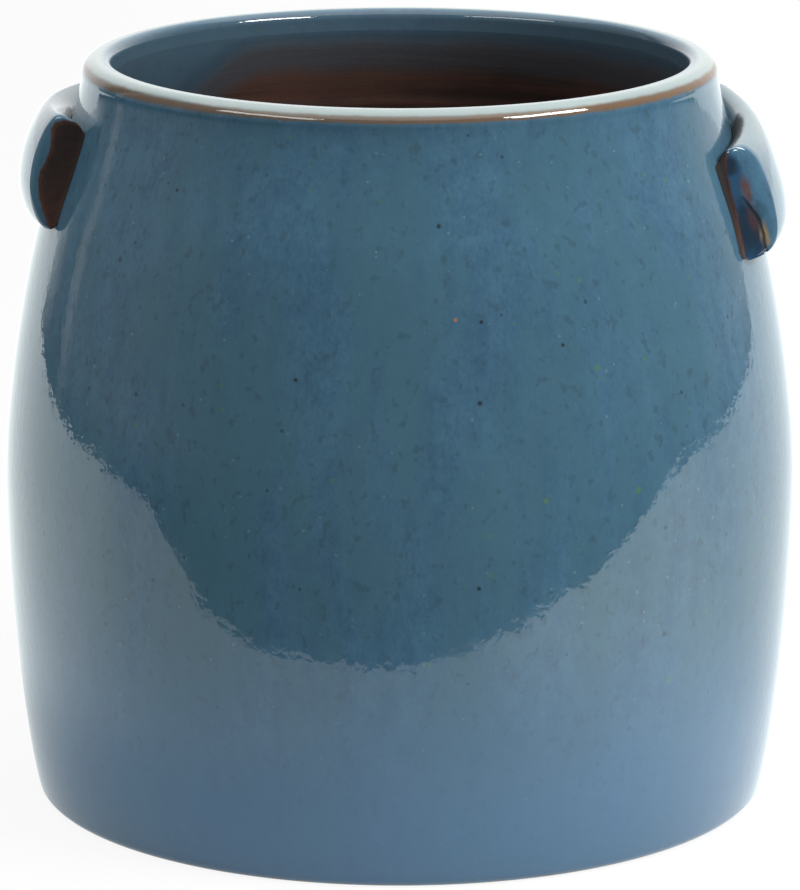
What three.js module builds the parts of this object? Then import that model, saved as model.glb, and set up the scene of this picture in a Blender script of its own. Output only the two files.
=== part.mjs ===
// A glazed stoneware planter: a wide-mouthed crock with a solid lug handle on each shoulder.
//
// Millimetres, +Z up. The origin is on the ground, at the middle of the foot. The front is -Y, and +X is
// to the right of someone who looks at the front. A potter makes five pieces of clay and joins them: the
// thrown wall, the floor disc inside its foot, the rim ring on its collar, and the two lugs.

import * as THREE from "three";

const degrees = Math.PI / 180;

// ---- Driving dimensions ----------------------------------------------------------------------------

// Whole pot.
const POT_HEIGHT = 236.5; // ground to the top of the lip
const WALL_THICKNESS = 9; // square to the surface, from the foot to the shoulder
const JOINT_GAP = 0.3; // left between two pieces of clay that are joined

// Outside of the wall, as a chain of curves from the foot to the lip. A reach says how far, along the
// tangent at a station, a curve still feels that station's direction.
const FOOT_RADIUS = 116.6; // outside, just above the rounded foot edge
const FOOT_EDGE_ROUND = 3.6; // radius of the rounded foot edge
const FOOT_FLARE = 14 * degrees; // how far the wall leans outwards above the foot
const FOOT_REACH = 19.5;
const BELLY_RADIUS = 125.7; // the widest part
const BELLY_HEIGHT = 103;
const BELLY_REACH_DOWN = 29;
const BELLY_REACH_UP = 28;
const SHOULDER_RADIUS = 109.6; // the middle of the sloping shoulder
const SHOULDER_DEPTH = 38.5; // below the top of the lip
const SHOULDER_SLOPE = 21 * degrees; // how far the shoulder leans inwards from upright
const SHOULDER_REACH_DOWN = 20;
const SHOULDER_REACH_UP = 12;
const COLLAR_REACH = 6; // of the upright collar below the lip

// Rim ring.
const LIP_RADIUS = 100; // outside of the lip
const LIP_WIDTH = 9.7; // across the top, inside to outside
const LIP_TALL = 7; // of the ring, from its joint to its top
const LIP_OUTER_ROUND = 5; // radius of the lip's outer edge
const LIP_INNER_ROUND = 3.2; // radius of the lip's inner edge

// Foot and floor.
const FOOT_RECESS = 2.5; // how far the underside stands above the ground
const FOOT_RING_INNER = 103; // inside radius of the ring that touches the ground
const FLOOR_THICKNESS = 10;
const FLOOR_LEDGE = 4.5; // how far the floor disc reaches over the foot ring
const DRAIN_HOLE = 20; // diameter

// Lugs. Each is a strip of clay folded double, pressed on the shoulder and bent round with it. They were
// made by hand, so they share a length and a height and differ in the rest.
const LUG_TALL = 35.5; // up the slope of the shoulder
const LUG_LENGTH = 89; // round the shoulder, end to end, along the wall
const LUG_FULLEST = 21.5; // how far above its bottom a lug is fullest
const LUG_FOOT_ROUND = 2.4; // radius where a lug's bottom meets the wall
const LUG_GROOVE_DEEP = 3.2; // of the groove between a lug's top and the wall
const LUG_GROOVE_WIDE = 1.6;
const LUG_END_ROUND = 1.2; // radius of the edge round each cut end

// What differs. thick: at the fullest, square to the wall. topEdge: how far the top's crest stands off the
// wall. footFull and topFull: how square the section is below and above its fullest, from 0 to 1. rise:
// of the lug's middle above the shoulder station. backset: of its middle behind the pot's side. drop: of
// its front end below its back end. slant: how much further the ends reach along the wall than outside.
const LEFT_LUG = {
  thick: 11.8,
  topEdge: 7.5,
  footFull: 0.52,
  topFull: 0.62,
  rise: 4.2,
  backset: 4 * degrees,
  drop: -3.1,
  slant: 5.3,
};
const RIGHT_LUG = {
  thick: 10.4,
  topEdge: 4.2,
  footFull: 0.86,
  topFull: 0.8,
  rise: 1,
  backset: -0.3 * degrees,
  drop: 7.6,
  slant: 10.5,
};

// How finely the curved surfaces are faceted.
const FACETS_ROUND = 64; // round the pot, a multiple of 4
const STEPS_OUTSIDE = 6; // along each curve of the outside
const STEPS_INSIDE = 11;
const STEPS_EDGE = 4; // along each rounded edge
const LUG_STEPS_LONG = 14;
const LUG_STEPS_CURVE = 6; // along each curve of a lug's section

// ---- Derived places --------------------------------------------------------------------------------

const shoulderHeight = POT_HEIGHT - SHOULDER_DEPTH;
const jointHeight = POT_HEIGHT - LIP_TALL; // between wall and rim ring
const floorBottom = FOOT_RECESS + JOINT_GAP;
const floorTop = floorBottom + FLOOR_THICKNESS;
const floorRadius = FOOT_RING_INNER + FLOOR_LEDGE;
const lipInnerRadius = LIP_RADIUS - LIP_WIDTH;

// ---- Materials -------------------------------------------------------------------------------------

function clayMaterial(color, roughness) {
  return new THREE.MeshStandardMaterial({ color, roughness, metalness: 0 });
}

const blueGlaze = 0x4f6f86;
const brownClay = 0x5a3d2e;
const glossy = 0.12;
const bare = 0.85;

// ---- Outside curves of the wall --------------------------------------------------------------------

// A point this far from a station, along a direction that leans outwards by an angle from upright.
function along(station, lean, reach) {
  return new THREE.Vector2(station.x + Math.sin(lean) * reach, station.y + Math.cos(lean) * reach);
}

// The wall's outside from the end of the foot edge to the start of the lip's round, in (radius, height).
function outsideCurves() {
  const footCentre = new THREE.Vector2(FOOT_RADIUS - FOOT_EDGE_ROUND, FOOT_EDGE_ROUND);
  const foot = new THREE.Vector2(
    footCentre.x + Math.cos(FOOT_FLARE) * FOOT_EDGE_ROUND,
    footCentre.y - Math.sin(FOOT_FLARE) * FOOT_EDGE_ROUND,
  );
  const belly = new THREE.Vector2(BELLY_RADIUS, BELLY_HEIGHT);
  const shoulder = new THREE.Vector2(SHOULDER_RADIUS, shoulderHeight);
  const lip = new THREE.Vector2(LIP_RADIUS, POT_HEIGHT - LIP_OUTER_ROUND);
  return [
    new THREE.CubicBezierCurve(
      foot,
      along(foot, FOOT_FLARE, FOOT_REACH),
      along(belly, 0, -BELLY_REACH_DOWN),
      belly,
    ),
    new THREE.CubicBezierCurve(
      belly,
      along(belly, 0, BELLY_REACH_UP),
      along(shoulder, -SHOULDER_SLOPE, -SHOULDER_REACH_DOWN),
      shoulder,
    ),
    new THREE.CubicBezierCurve(
      shoulder,
      along(shoulder, -SHOULDER_SLOPE, SHOULDER_REACH_UP),
      along(lip, 0, -COLLAR_REACH),
      lip,
    ),
  ];
}

const outside = outsideCurves();

// Where the outside reaches a height: its point, and its tangent up the wall.
function outsideAt(height) {
  const curve = outside.find((c) => height <= c.v3.y) ?? outside[outside.length - 1];
  let low = 0;
  let high = 1;
  for (let halving = 0; halving < 40; halving++) {
    const middle = (low + high) / 2;
    if (curve.getPoint(middle).y < height) low = middle;
    else high = middle;
  }
  return { point: curve.getPoint(low), tangent: curve.getTangent(low) };
}

// The inside of the wall at a height of its outside. It thickens from the shoulder up to the lip's width.
function insidePoint(height) {
  const { point, tangent } = outsideAt(height);
  const up = THREE.MathUtils.smoothstep(height, shoulderHeight, jointHeight);
  const thickness = THREE.MathUtils.lerp(WALL_THICKNESS, LIP_WIDTH, up);
  return new THREE.Vector2(point.x - tangent.y * thickness, point.y + tangent.x * thickness);
}

// Points along a quarter-round edge about a centre, from one angle to another.
function edgeRound(centre, radius, from, to) {
  const points = [];
  for (let step = 0; step <= STEPS_EDGE; step++) {
    const angle = THREE.MathUtils.lerp(from, to, step / STEPS_EDGE);
    const offset = new THREE.Vector2(Math.cos(angle), Math.sin(angle)).multiplyScalar(radius);
    points.push(offset.add(centre));
  }
  return points;
}

// ---- Turned pieces ---------------------------------------------------------------------------------

// Turns a closed outline of (radius, height) about the pot's axis.
function turned(outline) {
  const geometry = new THREE.LatheGeometry([...outline, outline[0].clone()], FACETS_ROUND);
  return geometry.rotateX(Math.PI / 2);
}

// The thrown wall: foot edge, outside up to the rim joint, and the inside down to the ledge for the floor.
function potWall() {
  const footCentre = new THREE.Vector2(FOOT_RADIUS - FOOT_EDGE_ROUND, FOOT_EDGE_ROUND);
  const outline = edgeRound(footCentre, FOOT_EDGE_ROUND, -Math.PI / 2, -FOOT_FLARE);
  for (const curve of outside) {
    outline.push(...curve.getPoints(STEPS_OUTSIDE).slice(1).filter((p) => p.y < jointHeight - 1));
  }
  outline.push(outsideAt(jointHeight).point.setY(jointHeight));
  outline.push(new THREE.Vector2(lipInnerRadius, jointHeight));
  for (let step = 1; step < STEPS_INSIDE; step++) {
    const height = THREE.MathUtils.lerp(jointHeight, floorTop, step / STEPS_INSIDE);
    outline.push(insidePoint(height));
  }
  outline.push(new THREE.Vector2(outsideAt(floorTop).point.x - WALL_THICKNESS, floorTop));
  outline.push(new THREE.Vector2(floorRadius + JOINT_GAP, floorTop));
  outline.push(new THREE.Vector2(floorRadius + JOINT_GAP, FOOT_RECESS));
  outline.push(new THREE.Vector2(FOOT_RING_INNER, FOOT_RECESS));
  outline.push(new THREE.Vector2(FOOT_RING_INNER, 0));
  return turned(outline);
}

// The disc that closes the bottom, pierced by the drain hole.
function floorDisc() {
  return turned([
    new THREE.Vector2(DRAIN_HOLE / 2, floorBottom),
    new THREE.Vector2(floorRadius, floorBottom),
    new THREE.Vector2(floorRadius, floorTop),
    new THREE.Vector2(DRAIN_HOLE / 2, floorTop),
  ]);
}

// The thick lip: upright outside, rounded over to the mouth.
function rimRing() {
  const bottom = jointHeight + JOINT_GAP;
  const outer = new THREE.Vector2(LIP_RADIUS - LIP_OUTER_ROUND, POT_HEIGHT - LIP_OUTER_ROUND);
  const inner = new THREE.Vector2(lipInnerRadius + LIP_INNER_ROUND, POT_HEIGHT - LIP_INNER_ROUND);
  return turned([
    new THREE.Vector2(lipInnerRadius, bottom),
    outsideAt(bottom).point.setY(bottom),
    ...edgeRound(outer, LIP_OUTER_ROUND, 0, Math.PI / 2),
    ...edgeRound(inner, LIP_INNER_ROUND, Math.PI / 2, Math.PI),
  ]);
}

// ---- Lugs ------------------------------------------------------------------------------------------

// A lug's section in (distance off the wall, height up the slope). Its back lies along the wall, its
// outside is fullest above the middle, and a groove opens between its crest and the wall.
function lugSection({ thick, topEdge, footFull, topFull }) {
  const above = LUG_TALL - LUG_FULLEST;
  const backTop = LUG_TALL - LUG_GROOVE_DEEP;
  const crest = (topEdge + thick) / 2;
  const section = new THREE.Shape();
  section.moveTo(0, LUG_FOOT_ROUND);
  section.quadraticCurveTo(0, 0, LUG_FOOT_ROUND, 0);
  section.bezierCurveTo(thick * footFull, 0, thick, LUG_FULLEST * (1 - footFull), thick, LUG_FULLEST);
  section.bezierCurveTo(thick, LUG_FULLEST + above * topFull, crest, LUG_TALL, topEdge, LUG_TALL);
  section.bezierCurveTo(LUG_GROOVE_WIDE, LUG_TALL, LUG_GROOVE_WIDE / 2, backTop, 0, backTop);
  const points = section.getPoints(LUG_STEPS_CURVE);
  for (let step = 1; step < LUG_STEPS_CURVE; step++) {
    points.push(new THREE.Vector2(0, THREE.MathUtils.lerp(backTop, LUG_FOOT_ROUND, step / LUG_STEPS_CURVE)));
  }
  return points;
}

// How far along the lug each of its rings lies, from its middle, and how much its edge is drawn in there.
function lugRings() {
  const straight = LUG_LENGTH / 2 - LUG_END_ROUND;
  const frontEnd = [];
  for (let step = 0; step < STEPS_EDGE; step++) {
    const angle = (step / STEPS_EDGE) * (Math.PI / 2);
    const place = -straight - LUG_END_ROUND * Math.cos(angle);
    frontEnd.push({ place, inset: LUG_END_ROUND * (1 - Math.sin(angle)) });
  }
  const body = [];
  for (let step = 0; step <= LUG_STEPS_LONG; step++) {
    body.push({ place: THREE.MathUtils.lerp(-straight, straight, step / LUG_STEPS_LONG), inset: 0 });
  }
  const backEnd = frontEnd.map(({ place, inset }) => ({ place: -place, inset })).reverse();
  return [...frontEnd, ...body, ...backEnd];
}

// A function that lays a point of a lug on the shoulder: off the wall, up the slope, along the lug.
function layOnShoulder(side, { thick, rise, backset, drop, slant }) {
  const seatHeight = shoulderHeight + rise;
  const { point: seat, tangent } = outsideAt(seatHeight);
  return (offWall, upSlope, alongLug) => {
    const off = JOINT_GAP + offWall;
    const shortened = 1 - (2 * slant * offWall) / (thick * LUG_LENGTH);
    const azimuth = backset + (alongLug * shortened) / seat.x;
    const height = seatHeight + (upSlope - LUG_TALL / 2) * tangent.y + (drop * alongLug) / LUG_LENGTH;
    const radius = outsideAt(height).point.x + off * tangent.y;
    return [
      side * radius * Math.cos(azimuth),
      radius * Math.sin(azimuth),
      height - off * tangent.x,
    ];
  };
}

// One lug. side is -1 for the left and 1 for the right.
function lug(side, shape) {
  const section = lugSection(shape);
  const rings = lugRings();
  const lay = layOnShoulder(side, shape);
  const middle = LUG_TALL / 2;
  const positions = [];
  for (const { place, inset } of rings) {
    const thinner = 1 - inset / shape.thick;
    const shorter = 1 - inset / middle;
    for (const point of section) {
      positions.push(...lay(point.x * thinner, middle + (point.y - middle) * shorter, place));
    }
  }
  const count = section.length;
  const lastRing = (rings.length - 1) * count;
  const frontCentre = rings.length * count;
  const backCentre = frontCentre + 1;
  positions.push(...lay(shape.thick / 2, middle, -LUG_LENGTH / 2));
  positions.push(...lay(shape.thick / 2, middle, LUG_LENGTH / 2));

  const indices = [];
  const face = (a, b, c) => indices.push(...(side < 0 ? [a, c, b] : [a, b, c]));
  for (let at = 0; at < count; at++) {
    const next = (at + 1) % count;
    face(frontCentre, at, next);
    for (let ring = 0; ring < lastRing; ring += count) {
      face(ring + at, ring + count + at, ring + next);
      face(ring + next, ring + count + at, ring + count + next);
    }
    face(backCentre, lastRing + next, lastRing + at);
  }
  const geometry = new THREE.BufferGeometry();
  geometry.setAttribute("position", new THREE.Float32BufferAttribute(positions, 3));
  geometry.setIndex(indices);
  geometry.computeVertexNormals();
  return geometry;
}

// ---- Assembly --------------------------------------------------------------------------------------

const planter = new THREE.Group();

function addPiece(name, geometry, color, roughness) {
  const piece = new THREE.Mesh(geometry, clayMaterial(color, roughness));
  piece.name = name;
  planter.add(piece);
}

addPiece("pot_wall", potWall(), blueGlaze, glossy);
addPiece("floor_disc", floorDisc(), brownClay, bare);
addPiece("rim_ring", rimRing(), blueGlaze, glossy);
addPiece("lug_left", lug(-1, LEFT_LUG), blueGlaze, glossy);
addPiece("lug_right", lug(1, RIGHT_LUG), blueGlaze, glossy);

export default planter;
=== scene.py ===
"""A blue glazed stoneware planter with two lug handles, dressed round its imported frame.

Metres, +Z up, the origin on the ground at the middle of the foot, and -Y the front. Each of the five
pieces of clay gets a finer body in place of its CAD node: the thrown wall, the floor disc, the rim ring
and the two lugs. They share one hand-thrown unevenness, so they still meet where the CAD has them meet.
"""

import logging
import math
from bisect import bisect_left
from dataclasses import dataclass, field
from enum import Enum
from typing import Callable

import bmesh
import bpy
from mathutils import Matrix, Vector, geometry, noise

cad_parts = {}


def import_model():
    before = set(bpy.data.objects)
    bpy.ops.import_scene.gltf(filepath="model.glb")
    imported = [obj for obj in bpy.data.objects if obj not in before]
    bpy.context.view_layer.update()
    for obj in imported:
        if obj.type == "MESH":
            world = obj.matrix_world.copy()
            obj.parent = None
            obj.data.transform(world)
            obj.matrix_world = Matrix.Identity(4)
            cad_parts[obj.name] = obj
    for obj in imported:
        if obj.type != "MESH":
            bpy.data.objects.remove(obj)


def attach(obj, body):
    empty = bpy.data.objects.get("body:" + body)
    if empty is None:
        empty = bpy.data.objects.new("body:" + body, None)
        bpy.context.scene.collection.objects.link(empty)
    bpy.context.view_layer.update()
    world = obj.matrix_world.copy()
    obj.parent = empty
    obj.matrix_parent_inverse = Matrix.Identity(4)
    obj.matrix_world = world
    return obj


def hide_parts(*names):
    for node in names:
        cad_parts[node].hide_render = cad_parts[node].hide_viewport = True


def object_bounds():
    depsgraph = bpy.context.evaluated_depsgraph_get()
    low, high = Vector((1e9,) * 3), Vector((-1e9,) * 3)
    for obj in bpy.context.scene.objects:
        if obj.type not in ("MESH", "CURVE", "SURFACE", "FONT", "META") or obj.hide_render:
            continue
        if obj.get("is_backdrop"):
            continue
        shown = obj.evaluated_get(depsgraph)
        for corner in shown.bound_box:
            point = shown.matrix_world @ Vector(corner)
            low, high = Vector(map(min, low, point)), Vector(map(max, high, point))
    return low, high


log = logging.getLogger("planter")

Outline = list[tuple[float, float]]
Triple = tuple[float, float, float]
Socket = bpy.types.NodeSocket

BODY = "root"
PLACE = "clay_place"  # point attribute: where the clay lay before the hand moved it
LUG_PLACE = "lug_place"  # point attribute: off the wall, up the slope, along the lug
LUG_MARKS = "lug_marks"  # point attribute: how deep in bare clay, how near the fold, how deep in the crevice
SAME_POINT = 1e-6  # points closer than this, in metres, are one
TURNED_CREASE = math.radians(50)
LUG_CREASE = math.radians(60)


class Side(Enum):
    """The side of the pot that a lug is on, with its sign along X."""

    LEFT = -1
    RIGHT = 1


class Slot(Enum):
    """The record's material slots."""

    BLUE_GLAZE = "blue_glaze"
    LIP_GLAZE = "lip_glaze"
    LUG_LEFT = "lug_glaze_left"
    LUG_RIGHT = "lug_glaze_right"
    BARE_CLAY = "bare_clay"


def mix(low: float, high: float, share: float) -> float:
    """Goes from low to high as share goes from 0 to 1."""
    return low + (high - low) * share


def smooth(low: float, high: float, value: float) -> float:
    """Rises smoothly from 0 to 1 as value goes from low to high."""
    share = min(max((value - low) / (high - low), 0.0), 1.0)
    return share * share * (3.0 - 2.0 * share)


# ---- The turned form ----


@dataclass(frozen=True)
class PotProfile:
    """The outside and inside of the thrown wall, as (radius, height) in metres."""

    height: float = 0.2365
    wall: float = 0.009
    foot_radius: float = 0.1166
    foot_round: float = 0.0036
    foot_flare: float = math.radians(14)
    foot_reach: float = 0.0195
    belly_radius: float = 0.1257
    belly_height: float = 0.103
    belly_reach_down: float = 0.029
    belly_reach_up: float = 0.028
    shoulder_radius: float = 0.1096
    shoulder_depth: float = 0.0385
    shoulder_slope: float = math.radians(21)
    shoulder_reach_down: float = 0.020
    shoulder_reach_up: float = 0.012
    collar_reach: float = 0.006
    lip_radius: float = 0.1
    lip_width: float = 0.0097
    lip_tall: float = 0.007
    lip_outer_round: float = 0.005
    lip_inner_round: float = 0.0032
    joint_gap: float = 0.0003
    foot_recess: float = 0.0025
    foot_ring_inner: float = 0.103
    floor_thickness: float = 0.010
    floor_ledge: float = 0.0045
    drain_hole: float = 0.020
    joint_clear: float = 0.0004  # the curve's own points stay this far below the joint
    foot_edge: float = 0.0011  # the small rounds: inside the foot ring, on the floor's rim, at the drain hole
    floor_edge: float = 0.0016
    drain_edge: float = 0.0008
    cove: float = 0.0062  # where the wall turns into the floor inside
    cove_lean: float = 0.0006
    curve_steps: int = 28
    table: list[tuple[float, float]] = field(default_factory=list)

    def __post_init__(self) -> None:
        """Fills the table of (height, radius) that outside_at reads."""
        for curve in self.outside_curves(120):
            self.table.extend((p.y, p.x) for p in curve[1 if self.table else 0 :])

    @property
    def shoulder_height(self) -> float:
        """Height of the shoulder's station."""
        return self.height - self.shoulder_depth

    @property
    def joint_height(self) -> float:
        """Height at which the wall and the rim ring meet, in the middle of the CAD gap."""
        return self.height - self.lip_tall + self.joint_gap / 2

    @property
    def floor_top(self) -> float:
        """Height of the floor disc's top."""
        return self.foot_recess + self.joint_gap + self.floor_thickness

    @property
    def floor_radius(self) -> float:
        """Radius at which the floor disc and the wall meet, in the middle of the CAD gap."""
        return self.foot_ring_inner + self.floor_ledge + self.joint_gap / 2

    @property
    def lip_inner(self) -> float:
        """Radius of the mouth."""
        return self.lip_radius - self.lip_width

    def outside_curves(self, steps: int) -> list[list[Vector]]:
        """Points along the three curves of the outside, from the foot edge to the lip's round.

        Args:
            steps: Points on each curve.

        Returns:
            A list of points (radius, height) for each curve.
        """

        def along(station: Vector, lean: float, reach: float) -> Vector:
            """A point this far from a station along a direction that leans outwards."""
            return station + Vector((math.sin(lean), math.cos(lean))) * reach

        foot = Vector((self.foot_radius - self.foot_round, self.foot_round))
        foot += Vector((math.cos(self.foot_flare), -math.sin(self.foot_flare))) * self.foot_round
        belly = Vector((self.belly_radius, self.belly_height))
        shoulder = Vector((self.shoulder_radius, self.shoulder_height))
        lip = Vector((self.lip_radius, self.height - self.lip_outer_round))
        leaves_foot = along(foot, self.foot_flare, self.foot_reach)
        meets_belly = along(belly, 0, -self.belly_reach_down)
        leaves_belly = along(belly, 0, self.belly_reach_up)
        meets_shoulder = along(shoulder, -self.shoulder_slope, -self.shoulder_reach_down)
        leaves_shoulder = along(shoulder, -self.shoulder_slope, self.shoulder_reach_up)
        meets_lip = along(lip, 0, -self.collar_reach)
        knots = [
            (foot, leaves_foot, meets_belly, belly),
            (belly, leaves_belly, meets_shoulder, shoulder),
            (shoulder, leaves_shoulder, meets_lip, lip),
        ]
        return [geometry.interpolate_bezier(*knot, steps) for knot in knots]

    def outside_at(self, height: float) -> tuple[float, Vector]:
        """Where the outside reaches a height.

        Args:
            height: Height above the ground.

        Returns:
            The radius there and the unit tangent (radius, height) up the wall.
        """
        at = min(max(bisect_left(self.table, (height, 0.0)), 2), len(self.table) - 2)
        (low_z, low_r), (high_z, high_r) = self.table[at - 1], self.table[at]
        before, after = self.table[at - 2], self.table[at + 1]
        radius = mix(low_r, high_r, (height - low_z) / (high_z - low_z))
        return radius, Vector((after[1] - before[1], after[0] - before[0])).normalized()

    def inside_at(self, height: float) -> Vector:
        """The inside's point square to the outside's point at a height, as (radius, height)."""
        radius, tangent = self.outside_at(height)
        thickness = mix(self.wall, self.lip_width, smooth(self.shoulder_height, self.joint_height, height))
        return Vector((radius - tangent.y * thickness, height + tangent.x * thickness))

    def wall_outline(self, inside_steps: int) -> Outline:
        """The closed outline of the wall, from the foot ring up the outside and down the inside."""
        soft = self.foot_edge
        outline = rounded(self.foot_ring_inner + soft, soft, soft, math.pi, math.pi * 1.5, 5)
        foot = self.foot_radius - self.foot_round
        outline += rounded(foot, self.foot_round, self.foot_round, -math.pi / 2, -self.foot_flare, 12)
        joint = self.joint_height
        for curve in self.outside_curves(self.curve_steps):
            outline += [(p.x, p.y) for p in curve[1:] if p.y < joint - self.joint_clear]
        outline += [(self.outside_at(joint)[0], joint), (self.lip_inner, joint)]
        low = self.floor_top + self.cove
        for step in range(1, inside_steps + 1):
            outline.append(tuple(self.inside_at(mix(joint, low, step / inside_steps))))
        top = Vector(outline[-1])
        corner = Vector((top.x - self.cove_lean, self.floor_top))
        end = Vector((self.floor_radius, self.floor_top))
        for step in range(1, 9):
            share = step / 8
            outline.append(tuple(top.lerp(corner, share).lerp(corner.lerp(end, share), share)))
        outline += [(self.floor_radius, self.foot_recess), (self.foot_ring_inner, self.foot_recess)]
        return outline

    def rim_outline(self) -> Outline:
        """The closed outline of the rim ring, from its joint up over the lip and down the mouth."""
        joint = self.joint_height
        top = self.height - self.lip_outer_round
        outline = [(self.lip_inner, joint)]
        for step in range(5):
            height = mix(joint, top, step / 5)
            outline.append((self.outside_at(height)[0], height))
        centre = self.lip_radius - self.lip_outer_round
        outline += rounded(centre, top, self.lip_outer_round, 0, math.pi / 2, 22)
        inner = self.lip_inner + self.lip_inner_round
        low = self.height - self.lip_inner_round
        outline += rounded(inner, low, self.lip_inner_round, math.pi / 2, math.pi, 14)
        outline += [(self.lip_inner, mix(low, joint, step / 4)) for step in range(1, 4)]
        return outline

    def floor_outline(self) -> Outline:
        """The closed outline of the floor disc, from its underside out, up and in to the drain hole."""
        bottom = self.foot_recess + self.joint_gap / 2
        hole = self.drain_hole / 2
        soft, fine = self.floor_edge, self.drain_edge
        outline = [(mix(hole + fine, self.floor_radius, step / 24), bottom) for step in range(1, 25)]
        outline += [(mix(self.floor_radius, hole + soft, step / 120), self.floor_top) for step in range(120)]
        outline += rounded(hole + soft, self.floor_top - soft, soft, math.pi / 2, math.pi, 8)
        outline += rounded(hole + fine, bottom + fine, fine, math.pi, math.pi * 1.5, 5)
        return outline


def rounded(radius: float, height: float, size: float, start: float, end: float, steps: int) -> Outline:
    """Points along a rounded edge.

    Args:
        radius: Radius of the edge's centre, from the pot's axis.
        height: Height of the edge's centre.
        size: Radius of the edge itself.
        start: Angle at which it starts, from outwards towards up.
        end: Angle at which it ends.
        steps: Steps between the two.

    Returns:
        The points, both ends among them.
    """
    angles = [mix(start, end, step / steps) for step in range(steps + 1)]
    return [(radius + size * math.cos(a), height + size * math.sin(a)) for a in angles]


@dataclass(frozen=True)
class PotterHand:
    """How the hand leaves the clay a little off true, only ever inwards of the true round."""

    profile: PotProfile
    wobble: float = 0.00016
    wobble_scale: float = 7.0
    wobble_shift: Triple = (3.1, 7.7, 1.3)
    band: float = 0.00002
    band_round: float = 6.0
    band_scale: float = 95.0
    calm: float = 0.05  # nearer the axis than this, the hand moves the clay less
    dip_even: float = 0.000525  # how far the lip dips at the front and the back alike
    dip_front: float = 0.000375  # how much further at the front, and less at the back
    dip_start: float = 0.205

    def move(self, point: Vector) -> Vector:
        """Moves a point of the true form to where the hand left it.

        Args:
            point: A point of the true form.

        Returns:
            The moved point, inside the true form's box.
        """
        flat = math.hypot(point.x, point.y)
        if flat < SAME_POINT:
            return point.copy()
        lump = noise.noise(point * self.wobble_scale + Vector(self.wobble_shift))
        band = noise.noise(point * Vector((self.band_round, self.band_round, self.band_scale)))
        inwards = self.wobble * (1 + lump) + self.band * (1 + band)
        scale = 1 - inwards * min(flat / self.calm, 1) / flat
        front = -point.y / flat
        dip = (self.dip_even * front + self.dip_front) * front
        lowered = max(dip, 0.0) * smooth(self.dip_start, self.profile.height, point.z)
        return Vector((point.x * scale, point.y * scale, point.z - lowered))


def store_vectors(bm: bmesh.types.BMesh, name: str, value: Callable[[Vector], Vector]) -> None:
    """Keeps a vector of each vertex as a point attribute, worked out from where the vertex is now."""
    layer = bm.verts.layers.float_vector.new(name)
    for vert in bm.verts:
        vert[layer] = value(vert.co)


def finish_object(bm: bmesh.types.BMesh, name: str, crease: float) -> bpy.types.Object:
    """Turns a bmesh into a smooth-shaded object of the scene, sharp where its faces meet steeply.

    Args:
        bm: The mesh, which is freed.
        name: The object's name.
        crease: The angle, in radians, past which an edge is sharp.

    Returns:
        The object, at the origin.
    """
    for face in bm.faces:
        face.smooth = True
    for edge in bm.edges:
        edge.smooth = len(edge.link_faces) == 2 and edge.calc_face_angle(0.0) < crease
    mesh = bpy.data.meshes.new(name)
    bm.to_mesh(mesh)
    bm.free()
    piece = bpy.data.objects.new(name, mesh)
    bpy.context.scene.collection.objects.link(piece)
    return piece


def stand_for(piece: bpy.types.Object, node: str, slot: Slot) -> None:
    """Lets a piece ride on the pot's body in place of its CAD node."""
    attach(piece, BODY)
    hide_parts(node)
    log.info("%s: %d faces, in place of %s", piece.name, len(piece.data.polygons), node)


def turn_piece(
    bm: bmesh.types.BMesh,
    names: tuple[str, str],
    slot: Slot,
    move: Callable[[Vector], Vector],
    place: Callable[[Vector], Vector] = Vector.copy,
) -> bpy.types.Object:
    """Moves a spun mesh as the potter's hand did, and makes it the piece of a node.

    Args:
        bm: The mesh, true to its profile.
        names: The piece's name and its CAD node's.
        slot: The record's slot; not used.
        move: Where a point of the true form ends up.
        place: Where the finish takes a point of the true form to be.

    Returns:
        The object.
    """
    store_vectors(bm, PLACE, place)
    for vert in bm.verts:
        vert.co = move(vert.co)
    piece = finish_object(bm, names[0], TURNED_CREASE)
    stand_for(piece, names[1], slot)
    return piece


def spin_outline(outline: Outline, steps: int) -> bmesh.types.BMesh:
    """Spins a closed outline of (radius, height) once round the pot's axis.

    Args:
        outline: The outline's points in order.
        steps: Steps round the pot.

    Returns:
        The closed mesh, with its faces outwards.
    """
    bm = bmesh.new()
    verts = [bm.verts.new((radius, 0.0, height)) for radius, height in outline]
    edges = [bm.edges.new(pair) for pair in zip(verts, verts[1:] + verts[:1])]
    bmesh.ops.spin(
        bm,
        geom=verts + edges,
        cent=(0, 0, 0),
        axis=(0, 0, 1),
        angle=math.tau,
        steps=steps,
        use_merge=True,
        use_duplicate=False,
    )
    bmesh.ops.remove_doubles(bm, verts=bm.verts, dist=SAME_POINT)
    bmesh.ops.recalc_face_normals(bm, faces=bm.faces)
    return bm


# ---- Nodes ----


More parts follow.
